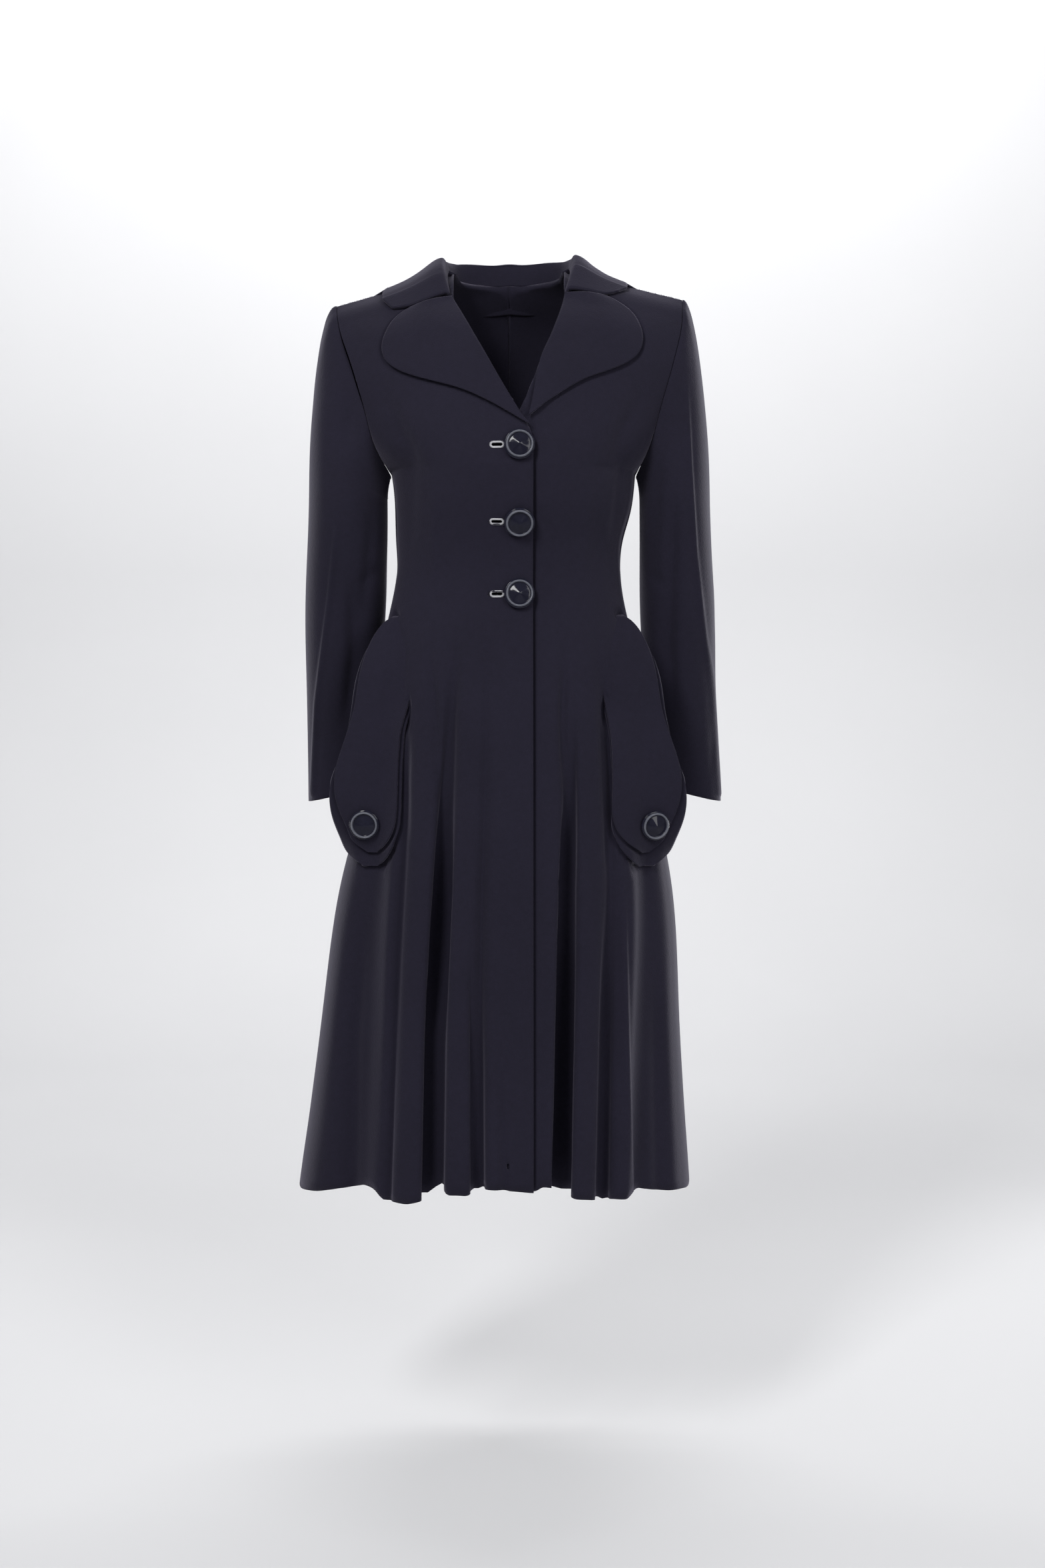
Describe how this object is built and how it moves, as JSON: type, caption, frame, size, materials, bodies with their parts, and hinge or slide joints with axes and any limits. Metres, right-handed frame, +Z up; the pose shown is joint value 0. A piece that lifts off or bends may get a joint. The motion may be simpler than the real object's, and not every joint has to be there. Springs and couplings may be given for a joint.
{
  "type": "wool coat",
  "caption": "Dark navy wool coat, fitted at the waist, with a wide notched collar, rounded lapels, hip pockets and a flared folded skirt.",
  "frame": {"origin": "between the shoulders at the base of the neck, where the wearer holds the coat", "axes": "+X towards the wearer's left, +Y towards the back, +Z up"},
  "size_m": [0.531, 0.3639, 1.1502],
  "materials": {
    "wool": "matte crepe",
    "button": "gloss"
  },
  "bodies": {
    "root": {"front_right": "wool", "front_left": "wool", "back_right": "wool", "back_left": "wool", "sleeve_right": "wool", "sleeve_left": "wool", "collar": "wool", "lapel_right": "wool", "lapel_left": "wool", "pocket_bag_right": "wool", "pocket_bag_left": "wool", "pocket_flap_right": "wool", "pocket_flap_left": "wool", "button_front_1": "button", "button_front_2": "button", "button_front_3": "button", "button_pocket_right": "button", "button_pocket_left": "button"}
  },
  "joints": []
}
